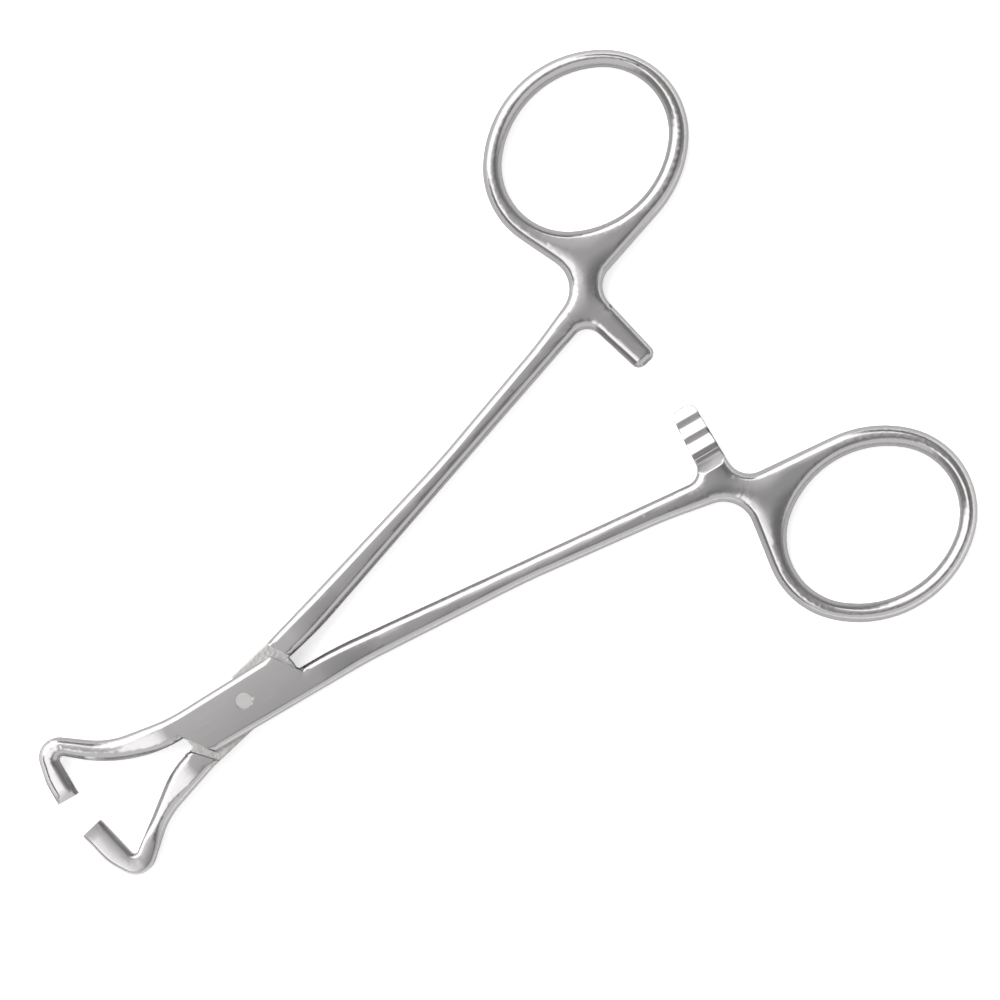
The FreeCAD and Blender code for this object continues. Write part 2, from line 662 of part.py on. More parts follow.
box_arm.setExpression("Placement.Rotation.Angle", "-sizes.rest_angle / 2 * 1 deg")
tongue_arm.setExpression("Placement.Rotation.Angle", "sizes.rest_angle / 2 * 1 deg")
doc.recompute()

for item in doc.Objects:
    if "Invalid" in item.State or "Error" in item.State:
        raise RuntimeError(f"{item.Name} failed: {item.State}")

for piece in (box_arm, tongue_arm, pivot_rivet):
    if piece.Shape.isNull() or not piece.Shape.isValid() or len(piece.Shape.Solids) != 1:
        raise RuntimeError(f"{piece.Label} is not one valid solid")
    piece.Shape.exportStep(f"parts/{piece.Label}.step")
    print(piece.Label, round(piece.Shape.Volume, 2), piece.Shape.BoundBox)
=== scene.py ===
import math

import bmesh
import bpy
from mathutils import Matrix, Vector


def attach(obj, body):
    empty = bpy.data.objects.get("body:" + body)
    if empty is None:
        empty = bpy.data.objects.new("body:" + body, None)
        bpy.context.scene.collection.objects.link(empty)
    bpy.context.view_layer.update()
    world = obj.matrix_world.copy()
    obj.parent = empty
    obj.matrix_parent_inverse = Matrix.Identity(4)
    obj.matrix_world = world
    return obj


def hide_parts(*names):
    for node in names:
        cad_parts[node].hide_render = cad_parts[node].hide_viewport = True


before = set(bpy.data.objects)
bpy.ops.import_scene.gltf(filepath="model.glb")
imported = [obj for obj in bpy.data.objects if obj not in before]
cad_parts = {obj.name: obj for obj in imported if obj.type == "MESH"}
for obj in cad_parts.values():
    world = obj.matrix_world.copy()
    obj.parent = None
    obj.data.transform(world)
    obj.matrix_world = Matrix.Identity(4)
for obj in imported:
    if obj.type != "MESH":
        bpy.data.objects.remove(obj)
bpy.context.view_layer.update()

mm = 0.001
print("clamp loaded:", ", ".join(sorted(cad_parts)))


colourA, colourB, colourResult = 6, 7, 2  # places of the colour sockets in a mix node


# sRGB hex to the linear colour that the shaders take
def linearColour(hexText):
    parts = [int(hexText[i:i + 2], 16) / 255 for i in (1, 3, 5)]
    linear = [c / 12.92 if c <= 0.04045 else ((c + 0.055) / 1.055) ** 2.4 for c in parts]
    return linear + [1.0]


# one node with its settings; an input is set to a value or linked from another node's output
def addNode(tree, kind, links=(), **settings):
    node = tree.nodes.new(kind)
    for name, value in settings.items():
        setattr(node, name, value)
    for socket, value in dict(links).items():
        target = node.inputs[socket]
        if isinstance(value, bpy.types.NodeSocket):
            tree.links.new(value, target)
        else:
            target.default_value = value
    return node


def emptyMaterial(name):
    material = bpy.data.materials.new(name)
    material.use_nodes = True
    material.node_tree.nodes.clear()
    return material, material.node_tree


restTurn = math.radians(6.35)  # half of the angle between the arms at rest
armSteel = {
    "colour": "#d8d6d6",        # stainless steel under neutral light
    "roughness": 0.19,
    "polishSpread": (0.85, 1.2),  # the streaks vary the roughness between these shares of it
    "speckSize": 0.17 * mm,     # fine matt grain under the polish
    "speckDepth": 0.0011 * mm,
    "lineWidth": 0.12 * mm,     # belt-ground lines, drawn as wide as the render can show
    "lineLength": 5.0 * mm,
    "lineDepth": 0.0006 * mm,
    "filedColour": "#bdb9b9",   # faces left from the file: the jaw tips
    "filedRoughness": 0.36,
    "filedWidth": 0.26 * mm,
    "filedStretch": 0.25,       # the scratches are four times as long as wide
    "filedDepth": 0.035 * mm,
    "milledColour": "#c8c6c4",  # faces left from the cutter: the tongue and the slot
    "milledWidth": 0.5 * mm,
    "milledDepth": 0.07 * mm,
}


# Stainless steel, forged, belt-ground along the arm and polished to satin: soft, slightly
# streaked reflections, and a duller look where the file or the cutter had the last word.
def satinSteel(name, look, turn):
    material, tree = emptyMaterial(name)
    place = addNode(tree, "ShaderNodeTexCoord").outputs["Object"]
    along = addNode(tree, "ShaderNodeMapping", {
        "Vector": place, "Rotation": (0, 0, turn)}).outputs["Vector"]
    filed = addNode(tree, "ShaderNodeAttribute", attribute_name="filed").outputs["Fac"]
    milled = addNode(tree, "ShaderNodeAttribute", attribute_name="milled").outputs["Fac"]
    across = 1 / look["lineWidth"]
    grain = addNode(tree, "ShaderNodeMapping", {
        "Vector": along, "Scale": (across, 1 / look["lineLength"], across),
    }).outputs["Vector"]
    streaks = addNode(tree, "ShaderNodeTexNoise", {
        "Vector": grain, "Scale": 1.0, "Detail": 3.0, "Roughness": 0.55,
    }).outputs["Fac"]
    streakBump = addNode(tree, "ShaderNodeBump", {"Height": streaks, "Distance": look["lineDepth"]})
    specks = addNode(tree, "ShaderNodeTexNoise", {
        "Vector": place, "Scale": 1 / look["speckSize"], "Detail": 1.0}).outputs["Fac"]
    speckBump = addNode(tree, "ShaderNodeBump", {
        "Height": specks, "Distance": look["speckDepth"], "Normal": streakBump.outputs["Normal"]})
    coarse = 1 / look["filedWidth"]
    scratches = addNode(tree, "ShaderNodeTexNoise", {
        "Vector": addNode(tree, "ShaderNodeMapping", {
            "Vector": along, "Scale": (coarse * look["filedStretch"], coarse, coarse),
        }).outputs["Vector"],
        "Scale": 1.0, "Detail": 2.0,
    }).outputs["Fac"]
    scratchBump = addNode(tree, "ShaderNodeBump", {
        "Height": scratches, "Distance": look["filedDepth"], "Strength": filed,
        "Normal": speckBump.outputs["Normal"],
    })
    wander = addNode(tree, "ShaderNodeTexNoise", {
        "Vector": along, "Scale": 1 / look["milledWidth"]}).outputs["Fac"]
    sideways = addNode(tree, "ShaderNodeSeparateXYZ", {"Vector": along}).outputs["X"]
    passes = addNode(tree, "ShaderNodeMath", {
        0: sideways, 1: 1 / look["milledWidth"], 2: wander}, operation="MULTIPLY_ADD").outputs["Value"]
    grooves = addNode(tree, "ShaderNodeMath", {0: passes}, operation="FRACT").outputs["Value"]
    grooveBump = addNode(tree, "ShaderNodeBump", {
        "Height": grooves, "Distance": look["milledDepth"], "Strength": milled,
        "Normal": scratchBump.outputs["Normal"],
    })
    least, most = look["polishSpread"]
    polish = addNode(tree, "ShaderNodeMapRange", {
        "Value": streaks, "From Min": 0.3, "From Max": 0.7,  # where most of the noise lies
        "To Min": look["roughness"] * least, "To Max": look["roughness"] * most,
    }).outputs["Result"]
    colour = linearColour(look["colour"])
    for share, other in ((filed, "filedColour"), (milled, "milledColour")):
        colour = addNode(tree, "ShaderNodeMix", {
            "Factor": share, colourA: colour, colourB: linearColour(look[other]),
        }, data_type="RGBA").outputs[colourResult]
    dull = addNode(tree, "ShaderNodeMath", {0: filed, 1: milled}, operation="MAXIMUM")
    roughness = addNode(tree, "ShaderNodeMix", {
        "Factor": dull.outputs["Value"], "A": polish, "B": look["filedRoughness"],
    }).outputs["Result"]
    shader = addNode(tree, "ShaderNodeBsdfPrincipled", {
        "Base Color": colour, "Metallic": 1.0, "Roughness": roughness,
        "Normal": grooveBump.outputs["Normal"],
    })
    addNode(tree, "ShaderNodeOutputMaterial", {"Surface": shader.outputs["BSDF"]})
    return material


# how the two arms are cut up before they are ground
armCuts = {
    "sameFlat": math.radians(0.6),  # facets that lie this close to one plane become one face
    "levelFace": 0.98,          # least upward part of the normal of a level face
    "crispEdge": math.radians(60),  # edges sharper than this are broken
    "edgeBreak": 0.14 * mm,
    "breakRows": 4,
    "bevelCrease": math.radians(30),  # the creases where the solid's bevels meet its flat faces
    "creaseReach": 0.3 * mm,    # they get rows of faces that run along with them
    "creaseRows": 3,
    "rivetSeat": 2.5 * mm,      # the edge of the rivet's seat stays as it is
    "seatFacing": 0.9,          # least upward part of the normal of the faces around it
    "neck": (68 * mm, 77.3 * mm),  # tight corners that leave no room for those rows
    "spacing": 0.6 * mm,        # cuts across and along the arm
    "levels": 0.19 * mm,        # level cuts, which give the rims their rows
    "sharp": math.radians(40),  # what stays a visible crease after grinding
}

# how they are ground: half thicknesses, the shape of the rims, and the crown between them
grindSizes = {
    "Middle": 2.3 * mm,
    "Lock Half": 2.3 * mm,
    "Shank Half": 1.7 * mm,
    "Jaw Half": 1.5 * mm,
    "Shank Start": 11.2 * mm,   # the lock thins out from here to the shank
    "Shank End": 20.5 * mm,
    "Jaw Start": 11.7 * mm,
    "Jaw End": 20.0 * mm,
    "Lock Rim Width": 0.9 * mm,
    "Lock Rim Drop": 0.75 * mm,
    "Lock Rim Curl": 1.8,       # 1 is a flat bevel, 2 runs smoothly into the upper face
    "Shank Rim Width": 1.0 * mm,
    "Shank Rim Drop": 0.85 * mm,
    "Shank Rim Curl": 1.5,
    "Ring Rim Width": 1.15 * mm,
    "Ring Rim Drop": 1.0 * mm,
    "Ring Rim Curl": 1.5,
    "Jaw Rim Width": 1.35 * mm,
    "Jaw Rim Drop": 1.0 * mm,
    "Jaw Rim Curl": 1.9,
    "Hook Rim Curl": 2.0,
    "Shank Crown": 0.07 * mm,
    "Shank Crown Reach": 1.7 * mm,
    "Lock Crown": 0.1 * mm,
    "Lock Crown Reach": 4.5 * mm,
    "Lock Crown Side": 2.5 * mm,
    "Neck Crown": 0.42 * mm,
    "Neck Crown Reach": 3.1 * mm,
    "Ground Off": 0.03 * mm,
    "Waves": 0.02 * mm,
    "Wave Size": 7.0 * mm,
}


# the sizes that are given for each arm by itself
armSizes = ["Turn Back", "Side", "Tip", "Hook Lean", "Hook Rim Width", "Hook Rim Drop", "Seed"]

# The rule of the grinding. A row names a value, the operation that gives it, and what goes
# in: numbers, sizes, or the values of earlier rows. Places count from the rivet, and along
# the arm from there towards the ring. These rows find the walls, before anything is moved.
wallRows = [
    ("down", "MULTIPLY", "along", -1.0),
    ("outward", "MULTIPLY", "across", "Side"),
    ("rise", "SUBTRACT", "level", "Middle"),
    ("height", "ABSOLUTE", "rise"),
    ("acrossSquare", "MULTIPLY", "across", "across"),
    ("alongSquare", "MULTIPLY", "along", "along"),
    ("radiusSquare", "ADD", "acrossSquare", "alongSquare"),
    ("radius", "SQRT", "radiusSquare"),
    ("fromTip", "SUBTRACT", "across", "Tip"),
    ("toTip", "ABSOLUTE", "fromTip"),
    ("onHook", "GREATER_THAN", "down", 20 * mm),
    ("tilt", "ABSOLUTE", "facingUp"),
    ("upright", "LESS_THAN", "tilt", 0.05),
    ("besideSlot", "GREATER_THAN", "height", 0.9 * mm),
    ("turnedAway", "ABSOLUTE", "facingAcross"),
    ("longWall", "GREATER_THAN", "turnedAway", 0.8),
    ("outsideBore", "GREATER_THAN", "radius", 2 * mm),
    ("lockWall", "MULTIPLY", "besideSlot", "longWall", "outsideBore"),
    ("outsideLock", "GREATER_THAN", "radius", 13 * mm),
    ("handGroundWall", "MAXIMUM", "lockWall", "outsideLock"),
    ("atTip", "LESS_THAN", "toTip", 0.02 * mm),
    ("tipWall", "MULTIPLY", "atTip", "onHook"),
    ("notTip", "SUBTRACT", 1.0, "tipWall"),
    ("rimWall", "MULTIPLY", "upright", "handGroundWall", "notTip"),
    ("notRim", "SUBTRACT", 1.0, "rimWall"),
    ("crispWall", "MULTIPLY", "upright", "besideSlot", "notRim", "outsideBore"),
]

# where a point is: at the lock, on the jaw, on the ring, at the neck or off the ratchet bar
zoneRows = [
    ("fromLock", "ABSOLUTE", "along"),
    ("offLock", "RISING", "fromLock", 10 * mm, 18 * mm),
    ("atLock", "SUBTRACT", 1.0, "offLock"),
    ("onJaw", "RISING", "down", 13 * mm, 20 * mm),
    ("onHookEnd", "RISING", "down", 21 * mm, 24.5 * mm),
    ("onRing", "RISING", "along", 79 * mm, 85 * mm),
    ("belowRing", "SUBTRACT", 1.0, "onRing"),
    ("pastTeeth", "RISING", "along", 69 * mm, 76 * mm),
    ("atNeck", "MULTIPLY", "pastTeeth", "belowRing"),
    ("belowBar", "LESS_THAN", "along", 68 * mm),
    ("besideBar", "RISING", "outward", 4 * mm, 9 * mm),
    ("offBar", "MAXIMUM", "besideBar", "belowBar"),
]
for part in ("Rim Width", "Rim Drop", "Rim Curl"):
    zoneRows += [
        ("upper " + part, "MIX", "onRing", "Shank " + part, "Ring " + part),
        ("middle " + part, "MIX", "atLock", "upper " + part, "Lock " + part),
        ("lower " + part, "MIX", "onJaw", "middle " + part, "Jaw " + part),
        (part, "MIX", "onHookEnd", "lower " + part, "Hook " + part),
    ]

# The surface that grinding leaves: half the thickness there, less a rounded rim along every
# long edge, a crown between the rims, the lean of the hook's back, and shallow waves.
surfaceRows = [
    ("towardsRing", "RISING", "along", "Shank Start", "Shank End"),
    ("upperHalf", "MIX", "towardsRing", "Lock Half", "Shank Half"),
    ("towardsTip", "RISING", "down", "Jaw Start", "Jaw End"),
    ("half", "MIX", "towardsTip", "upperHalf", "Jaw Half"),
    ("rimPlace", "DIVIDE", "toRim", "Rim Width"),
    ("inside", "MINIMUM", "rimPlace", 1.0),
    ("outside", "SUBTRACT", 1.0, "inside"),
    ("curled", "POWER", "outside", "Rim Curl"),
    ("endLead", "SUBTRACT", "toCrisp", "toRim"),
    ("beforeEnd", "RISING", "endLead", 0.0, 0.6 * mm),
    ("rimDrop", "MULTIPLY", "Rim Drop", "curled", "beforeEnd"),
    ("Crown Reach", "MIX", "atNeck", "Shank Crown Reach", "Neck Crown Reach"),
    ("Crown", "MIX", "atNeck", "Shank Crown", "Neck Crown"),
    ("crownPlace", "DIVIDE", "toRim", "Crown Reach"),
    ("crownRest", "SUBTRACT", 1.0, "crownPlace"),
    ("offCentre", "MAXIMUM", "crownRest", 0.0),
    ("offCentreSquare", "MULTIPLY", "offCentre", "offCentre"),
    ("shankCrown", "MULTIPLY", "Crown", "offCentreSquare", "offBar"),
    ("fromLockSide", "SUBTRACT", "across", "Lock Crown Side"),
    ("lockPlace", "DIVIDE", "fromLockSide", "Lock Crown Reach"),
    ("lockPlaceSquare", "MULTIPLY", "lockPlace", "lockPlace"),
    ("lockCrown", "MULTIPLY", "Lock Crown", "lockPlaceSquare"),
    ("crown", "MIX", "atLock", "shankCrown", "lockCrown"),
    ("pastBack", "SUBTRACT", "down", 26.5 * mm),
    ("hookBack", "MAXIMUM", "pastBack", 0.0),
    ("lean", "MULTIPLY", "hookBack", "Hook Lean"),
    ("wave", "MULTIPLY", "cloud", "Waves"),
    ("lost", "ADD", "rimDrop", "crown", "wave", "lean"),
    ("full", "SUBTRACT", "half", "Ground Off"),
    ("surface", "SUBTRACT", "full", "lost"),
]

# All that stands above this surface is ground away. Along the rims and around the rivet the
# surface itself takes the place of the solid's, but not at the crisp ends or on the teeth.
groundRows = [
    ("ground", "MINIMUM", "height", "surface"),
    ("offWall", "GREATER_THAN", "toRim", 0.001 * mm),
    ("withinRim", "LESS_THAN", "toRim", "Rim Width"),
    ("bevelFoot", "SUBTRACT", "half", 1.05 * mm),
    ("aboveFoot", "GREATER_THAN", "height", "bevelFoot"),
    ("onBevel", "MULTIPLY", "offWall", "withinRim", "aboveFoot"),
    ("offEnd", "RISING", "toCrisp", 0.25 * mm, 0.7 * mm),
    ("sidedRise", "MULTIPLY", "rise", "Side"),
    ("plainSide", "LESS_THAN", "sidedRise", -0.93 * mm),
    ("besideTeeth", "RISING", "outward", 5.4 * mm, 9.4 * mm),
    ("offTeeth", "MAXIMUM", "besideTeeth", "belowBar", "plainSide"),
    ("rounded", "MULTIPLY", "onBevel", "offEnd", "offTeeth"),
    ("offRivet", "GREATER_THAN", "radius", 1.19 * mm),
    ("nearRivet", "LESS_THAN", "radius", 2.2 * mm),
    ("upperSkin", "GREATER_THAN", "height", 2 * mm),
    ("aroundRivet", "MULTIPLY", "offRivet", "nearRivet", "upperSkin"),
    ("asSurface", "MAXIMUM", "rounded", "aroundRivet"),
    ("newHeight", "MIX", "asSurface", "ground", "surface"),
    ("upOrDown", "SIGN", "rise"),
    ("newRise", "MULTIPLY", "newHeight", "upOrDown"),
    ("newLevel", "ADD", "newRise", "Middle"),
]

# where the file and the cutter had the last word: the ends of the jaws, the tongue and the slot
toolRows = [
    ("offTip", "RISING", "toTip", 0.9 * mm, 1.6 * mm),
    ("nearTip", "SUBTRACT", 1.0, "offTip"),
    ("filed", "MULTIPLY", "nearTip", "onHook"),
    ("insideSlot", "LESS_THAN", "height", 0.86 * mm),
    ("insideLock", "LESS_THAN", "radius", 11 * mm),
    ("milled", "MULTIPLY", "insideSlot", "insideLock"),
]

# rows with these operations add a node of their own kind, the others a maths node
rowKinds = {
    "MIX": ("ShaderNodeMix", ("Factor", "A", "B"), {}),
    "RISING": ("ShaderNodeMapRange", ("Value", "From Min", "From Max"),
               {"interpolation_type": "SMOOTHSTEP"}),
}


# adds the nodes of the rows to a tree; a row with more than two inputs becomes a chain
def addRows(tree, known, rows):
    for name, operation, *sources in rows:
        values = [known[s] if isinstance(s, str) else s for s in sources]
        if operation in rowKinds:
            kind, sockets, settings = rowKinds[operation]
            node = addNode(tree, kind, zip(sockets, values), **settings)
            known[name] = node.outputs["Result"]
            continue
        node = addNode(tree, "ShaderNodeMath", enumerate(values[:2]), operation=operation)
        for value in values[2:]:
            node = addNode(tree, "ShaderNodeMath", {
                0: node.outputs["Value"], 1: value}, operation=operation)
        known[name] = node.outputs["Value"]


# the solid's mesh, joined up, its crisp edges broken, and cut into small fields
def cutUp(node, turn):
    mesh = bmesh.new()
    mesh.from_mesh(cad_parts[node].data)
    bmesh.ops.remove_doubles(mesh, verts=mesh.verts, dist=1e-7)
    bmesh.ops.dissolve_limit(
        mesh, angle_limit=armCuts["sameFlat"], verts=mesh.verts, edges=mesh.edges)
    neckStart, neckEnd = armCuts["neck"]
    creases = [
        e for e in mesh.edges
        if armCuts["bevelCrease"] < e.calc_face_angle(0) < armCuts["crispEdge"]
        and max(abs(f.normal.z) for f in e.link_faces) > armCuts["levelFace"]
        and e.verts[0].co.xy.length > armCuts["rivetSeat"]
        and not neckStart < e.verts[0].co.xy.length < neckEnd
    ]
    bmesh.ops.bevel(
        mesh, geom=creases, offset=armCuts["creaseReach"], offset_type="OFFSET",
        segments=armCuts["creaseRows"], profile=0.5, affect="EDGES", clamp_overlap=False,
    )
    crisp = [
        e for e in mesh.edges
        if e.calc_face_angle(0) > armCuts["crispEdge"]
        and e.verts[0].co.xy.length > armCuts["rivetSeat"]
    ]
    bmesh.ops.bevel(
        mesh, geom=crisp, offset=armCuts["edgeBreak"], offset_type="OFFSET",
        segments=armCuts["breakRows"], profile=0.5, affect="EDGES", clamp_overlap=False,
    )
    bmesh.ops.triangulate(mesh, faces=mesh.faces)
    turned = Matrix.Rotation(turn, 3, "Z")
    directions = (
        (turned @ Vector((1, 0, 0)), armCuts["spacing"]),
        (turned @ Vector((0, 1, 0)), armCuts["spacing"]),
        (Vector((0, 0, 1)), armCuts["levels"]),
    )
    for across, spacing in directions:
        places = [v.co.dot(across) for v in mesh.verts]
        cut = min(places) + spacing / 2
        while cut < max(places):
            everything = mesh.verts[:] + mesh.edges[:] + mesh.faces[:]
            bmesh.ops.bisect_plane(
                mesh, geom=everything, dist=1e-8, plane_co=across * cut, plane_no=across)
            cut += spacing
    bmesh.ops.triangulate(mesh, faces=mesh.faces)
    result = bpy.data.meshes.new(node + "Cut")
    mesh.to_mesh(result)
    mesh.free()
    return result


# geometry nodes that grind a cut-up arm by the rows above
def grindingTree():
    tree = bpy.data.node_groups.new("handGrinding", "GeometryNodeTree")
    sockets = tree.interface
    sockets.new_socket("Geometry", in_out="INPUT", socket_type="NodeSocketGeometry")
    for name in armSizes + list(grindSizes):
        sockets.new_socket(name, in_out="INPUT", socket_type="NodeSocketFloat")
    sockets.new_socket("Material", in_out="INPUT", socket_type="NodeSocketMaterial")
    sockets.new_socket("Geometry", in_out="OUTPUT", socket_type="NodeSocketGeometry")
    known = {socket.name: socket for socket in addNode(tree, "NodeGroupInput").outputs}

    # places and directions as the arm sees them, with its length upright
    place = addNode(tree, "GeometryNodeInputPosition").outputs["Position"]
    normal = addNode(tree, "GeometryNodeInputNormal").outputs["Normal"]
    inArm = (
        (place, {"across": "X", "along": "Y", "level": "Z"}),
        (normal, {"facingAcross": "X", "facingUp": "Z"}),
    )
    for vector, names in inArm:
        turned = addNode(tree, "ShaderNodeVectorRotate", {
            "Vector": vector, "Angle": known["Turn Back"]}, rotation_type="Z_AXIS")
        parts = addNode(tree, "ShaderNodeSeparateXYZ", {"Vector": turned.outputs["Vector"]})
        known.update((name, parts.outputs[axis]) for name, axis in names.items())
    addRows(tree, known, wallRows)

    # distances in plan to the two sorts of wall
    placeParts = addNode(tree, "ShaderNodeSeparateXYZ", {"Vector": place}).outputs
    flat = addNode(tree, "ShaderNodeCombineXYZ", {
        "X": placeParts["X"], "Y": placeParts["Y"], "Z": known["Middle"]}).outputs["Vector"]
    for name, walls in (("toRim", "rimWall"), ("toCrisp", "crispWall")):
        part = addNode(tree, "GeometryNodeSeparateGeometry", {
            "Geometry": known["Geometry"], "Selection": known[walls]}, domain="FACE")
        plan = addNode(tree, "GeometryNodeSetPosition", {
            "Geometry": part.outputs["Selection"], "Position": flat})
        known[name] = addNode(tree, "GeometryNodeProximity", {
            0: plan.outputs["Geometry"], "Sample Position": flat,
        }, target_element="EDGES").outputs["Distance"]

    waveScale = addNode(tree, "ShaderNodeMath", {0: 1.0, 1: known["Wave Size"]}, operation="DIVIDE")
    known["cloud"] = addNode(tree, "ShaderNodeTexNoise", {
        "Vector": place, "W": known["Seed"], "Scale": waveScale.outputs["Value"], "Detail": 0.0,
    }, noise_dimensions="4D").outputs["Fac"]
    addRows(tree, known, zoneRows + surfaceRows + groundRows + toolRows)

    newPlace = addNode(tree, "ShaderNodeCombineXYZ", {
        "X": placeParts["X"], "Y": placeParts["Y"], "Z": known["newLevel"]})
    formed = addNode(tree, "GeometryNodeSetPosition", {
        "Geometry": known["Geometry"], "Position": newPlace.outputs["Vector"]})
    for name in ("filed", "milled"):
        formed = addNode(tree, "GeometryNodeStoreNamedAttribute", {
            "Geometry": formed.outputs["Geometry"], "Name": name, "Value": known[name]})
    merged = addNode(tree, "GeometryNodeMergeByDistance", {
        "Geometry": formed.outputs["Geometry"], "Distance": 0.002 * mm})
    whole = addNode(tree, "GeometryNodeRealizeInstances", {
        "Geometry": merged.outputs["Geometry"]})
    dressed = addNode(tree, "GeometryNodeSetMaterial", {
        "Geometry": whole.outputs["Geometry"], "Material": known["Material"]})
    addNode(tree, "NodeGroupOutput", {"Geometry": dressed.outputs["Geometry"]})
    return tree


# runs a tree on a mesh with named inputs and gives back a plain object
def runTree(tree, name, mesh, values):
    holder = bpy.data.objects.new(name, mesh)
    bpy.context.scene.collection.objects.link(holder)
    modifier = holder.modifiers.new(tree.name, "NODES")
    modifier.node_group = tree
    for item in tree.interface.items_tree:
        if item.in_out == "INPUT" and item.name in values:
            modifier[item.identifier] = values[item.name]
    graph = bpy.context.evaluated_depsgraph_get()
    result = bpy.data.meshes.new_from_object(holder.evaluated_get(graph))
    holder.modifiers.clear()
    holder.data = result
    result.name = name
    return holder


grinding = grindingTree()


# one arm: cut up, ground and dressed, on its body and in the place of its solid
def groundArm(name, node, body, own):
    turn = -own["Side"] * restTurn
    steel = satinSteel(name + "Steel", armSteel, -turn)
    values = {**grindSizes, **own, "Turn Back": -turn, "Material": steel}
    holder = runTree(grinding, name, cutUp(node, turn), values)
    holder.data.shade_smooth()
    for face in holder.data.polygons:  # the plate is shaded flat around the rivet
        level = abs(face.normal.z) > armCuts["seatFacing"]
        if level and face.center.xy.length < armCuts["rivetSeat"]:
            face.use_smooth = False
    holder.data.set_sharp_from_angle(angle=armCuts["sharp"])
    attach(holder, body)
    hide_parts(node)
    print(name, "ground:", len(holder.data.polygons), "triangles")


boxArmSizes = {
    "Side": 1.0,                # its ring is on the right, and its teeth face up
    "Tip": -0.55 * mm,          # the face of the jaw's end
    "Hook Lean": 0.14,          # how steeply the back of the hook falls away
    "Hook Rim Width": 1.2 * mm,
    "Hook Rim Drop": 0.9 * mm,
    "Seed": 3.0,
}
groundArm("boxArmGround", "box_arm", "box_half", boxArmSizes)

tongueArmSizes = {
    "Side": -1.0,
    "Tip": -1.65 * mm,
    "Hook Lean": 0.035,
    "Hook Rim Width": 0.6 * mm,
    "Hook Rim Drop": 0.4 * mm,
    "Seed": 11.0,
}
groundArm("tongueArmGround", "tongue_arm", "tongue_half", tongueArmSizes)

# the spread ends of the rivet, peened and only just ground flush, which leaves them duller
rivetSteel = dict(armSteel, colour="#e8e7e6", roughness=0.36)
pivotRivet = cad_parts["pivot_rivet"]
pivotRivet.data.materials.clear()
pivotRivet.data.materials.append(satinSteel("rivetSteel", rivetSteel, restTurn))
print("rivet dressed")


studio = {
    "imageWidth": 142.86 * mm,          # the photo is 7 px to the millimetre
    "centre": Vector((-0.97, 46.35, 3.0)) * mm,
    "turn": math.radians(53.15),
    "lens": 150.0,
    "sensor": 36.0,
    "overheadGrey": 0.17,
    "horizonGrey": 0.3,
    "floorColour": "#fafafa",
    "paintedShadeGrey": "#c6c6c6",  # painted shade: the paper close by is painted this darker grey where the steel's edges mirror it
    "nearFloor": 70 * mm,       # up to here from the clamp the steel mirrors the paper in painted shade
    "farFloor": 160 * mm,       # and from here on they mirror it with a painted glow
    "paperGlow": 0.58,          # what lifts the paper to white for the camera
    "floorHalf": 1.5,
    "floorGap": 0.02 * mm,
}
# a wide softbox high on the upper left, which casts the soft shadow to the lower right
keySoftbox = {"azimuth": 133, "fromTop": 40, "distance": 0.9, "width": 0.8, "strength": 2.0}
# What the steel mirrors besides the grey ceiling: azimuth anticlockwise from the right of
# the picture, angle from straight above, inner and outer half angle, brightness.
reflectedFields = {
    "lightSide": (-70, 84, 42, 72, 0.72),
    "softRise": (138, 62, 30, 80, 0.8),
    "darkTop": (86, 96, 26, 40, 0.22),
    "whiteStrip": (84, 52, 7, 14, 1.6),
    "darkCorner": (-150, 84, 20, 38, 0.22),
    "lowWindow": (-150, 35, 18, 29, 1.4),
    "keyWindow": (140, 68, 36, 46, 1.8),
}
imageRight = Vector((math.cos(studio["turn"]), math.sin(studio["turn"]), 0))
imageUp = Vector((-imageRight.y, imageRight.x, 0))


# direction by azimuth and by angle from straight above, in degrees
def towards(azimuth, fromTop):
    turn, lean = math.radians(azimuth), math.radians(fromTop)
    flat = imageRight * math.cos(turn) + imageUp * math.sin(turn)
    return flat * math.sin(lean) + Vector((0, 0, math.cos(lean)))


# White seen directly; for all other rays a grey ceiling with lighter and darker fields.
def studioWorld():
    world = bpy.data.worlds.new("studio")
    bpy.context.scene.world = world
    world.use_nodes = True
    tree = world.node_tree
    tree.nodes.clear()
    direction = addNode(tree, "ShaderNodeTexCoord").outputs["Generated"]
    height = addNode(tree, "ShaderNodeSeparateXYZ", {"Vector": direction}).outputs["Z"]
    shade = addNode(tree, "ShaderNodeMapRange", {
        "Value": height, "From Min": 0.0, "From Max": 0.9,
        "To Min": studio["horizonGrey"], "To Max": studio["overheadGrey"],
    }).outputs["Result"]
    for azimuth, fromTop, inner, outer, brightness in reflectedFields.values():
        nearness = addNode(tree, "ShaderNodeVectorMath", {
            0: direction, 1: towards(azimuth, fromTop)}, operation="DOT_PRODUCT").outputs["Value"]
        inField = addNode(tree, "ShaderNodeMapRange", {
            "Value": nearness, "From Min": math.cos(math.radians(outer)),
            "From Max": math.cos(math.radians(inner)),
        }, interpolation_type="SMOOTHSTEP").outputs["Result"]
        shade = addNode(tree, "ShaderNodeMix", {
            "Factor": inField, "A": shade, "B": brightness}).outputs["Result"]
    dome = addNode(tree, "ShaderNodeBackground", {"Color": shade, "Strength": 1.0})
    white = addNode(tree, "ShaderNodeBackground", {"Color": (1, 1, 1, 1), "Strength": 1.0})
    rays = addNode(tree, "ShaderNodeLightPath").outputs
    seen = addNode(tree, "ShaderNodeMixShader", {
        0: rays["Is Camera Ray"], 1: dome.outputs["Background"], 2: white.outputs["Background"],
    })
    addNode(tree, "ShaderNodeOutputWorld", {"Surface": seen.outputs["Shader"]})


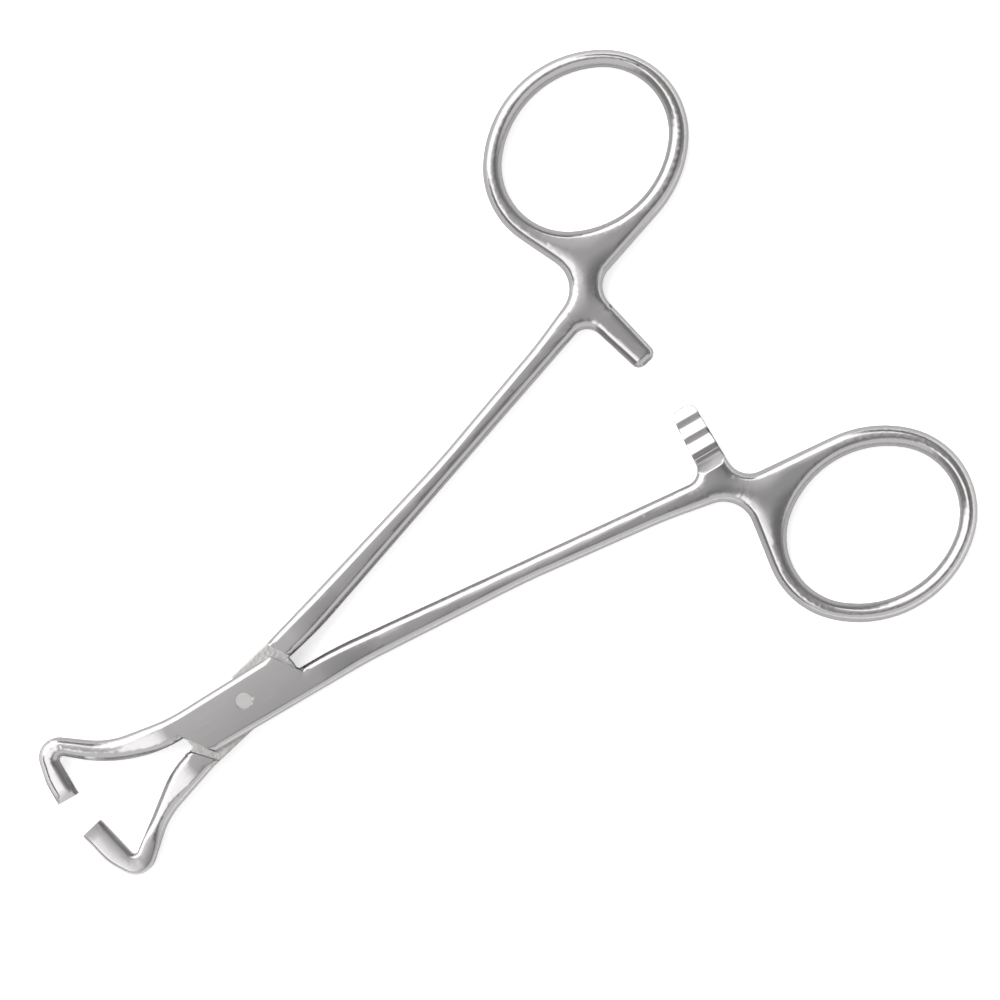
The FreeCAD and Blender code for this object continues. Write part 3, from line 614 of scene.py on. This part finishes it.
# a softbox that lights the floor and casts the shadow, but isn't mirrored in the steel
def softbox(name, azimuth, fromTop, distance, width, strength):
    lamp = bpy.data.lights.new(name, "AREA")
    lamp.shape = "SQUARE"
    lamp.size = width
    lamp.energy = strength * width * width * math.pi
    holder = bpy.data.objects.new(name, lamp)
    direction = towards(azimuth, fromTop)
    sideways = Vector((0, 0, 1)).cross(direction).normalized()
    placing = Matrix((sideways, direction.cross(sideways), direction)).transposed().to_4x4()
    placing.translation = studio["centre"] + direction * distance
    holder.matrix_world = placing
    holder.visible_glossy = False
    bpy.context.scene.collection.objects.link(holder)


studioWorld()
softbox("keySoftbox", **keySoftbox)

half = studio["floorHalf"]
corners = [(-half, -half, 0), (half, -half, 0), (half, half, 0), (-half, half, 0)]
floorMesh = bpy.data.meshes.new("floor")
floorMesh.from_pydata(corners, [], [(0, 1, 2, 3)])
floor = bpy.data.objects.new("floor", floorMesh)
bpy.context.scene.collection.objects.link(floor)
floor.location.z = -studio["floorGap"]


# Seamless white paper. The camera sees it lifted to white, with its shadow. In the steel's
# reflections it is painted darker close to the clamp, as painted shade from the clamp, and given a
# painted glow far away.
def whitePaper():
    material, tree = emptyMaterial("whitePaper")
    rays = addNode(tree, "ShaderNodeLightPath").outputs
    place = addNode(tree, "ShaderNodeTexCoord").outputs["Object"]
    fromClamp = addNode(tree, "ShaderNodeVectorMath", {
        0: place, 1: studio["centre"]}, operation="DISTANCE").outputs["Value"]
    far = addNode(tree, "ShaderNodeMapRange", {
        "Value": fromClamp, "From Min": studio["nearFloor"], "From Max": studio["farFloor"],
    }).outputs["Result"]
    near = addNode(tree, "ShaderNodeMath", {0: 1.0, 1: far}, operation="SUBTRACT").outputs["Value"]
    # painted shade: only in the steel's reflections, the paper near the clamp turns a darker grey
    paintedShadeShare = addNode(tree, "ShaderNodeMath", {
        0: rays["Is Glossy Ray"], 1: near}, operation="MULTIPLY").outputs["Value"]
    colour = addNode(tree, "ShaderNodeMix", {
        "Factor": paintedShadeShare, colourA: linearColour(studio["floorColour"]),
        colourB: linearColour(studio["paintedShadeGrey"]),
    }, data_type="RGBA").outputs[colourResult]
    paper = addNode(tree, "ShaderNodeBsdfDiffuse", {"Color": colour})
    # painted glow: only in the steel's reflections, the paper far from the clamp glows
    paintedGlowShare = addNode(tree, "ShaderNodeMath", {
        0: rays["Is Glossy Ray"], 1: far}, operation="MULTIPLY").outputs["Value"]
    lift = addNode(tree, "ShaderNodeMath", {
        0: rays["Is Camera Ray"], 1: studio["paperGlow"], 2: paintedGlowShare,
    }, operation="MULTIPLY_ADD").outputs["Value"]
    glow = addNode(tree, "ShaderNodeEmission", {"Color": (1, 1, 1, 1), "Strength": lift})
    both = addNode(tree, "ShaderNodeAddShader", {
        0: paper.outputs["BSDF"], 1: glow.outputs["Emission"]})
    addNode(tree, "ShaderNodeOutputMaterial", {"Surface": both.outputs["Shader"]})
    return material


floorMesh.materials.append(whitePaper())

cameraData = bpy.data.cameras.new("camera")
cameraData.lens = studio["lens"]
cameraData.sensor_width = studio["sensor"]
cameraData.clip_end = 10
camera = bpy.data.objects.new("camera", cameraData)
distance = studio["imageWidth"] * studio["lens"] / studio["sensor"]
camera.location = studio["centre"] + Vector((0, 0, distance))
camera.rotation_euler = (0, 0, studio["turn"])
bpy.context.scene.collection.objects.link(camera)
bpy.context.scene.camera = camera
bpy.context.scene.view_settings.view_transform = "Standard"
print("studio set")
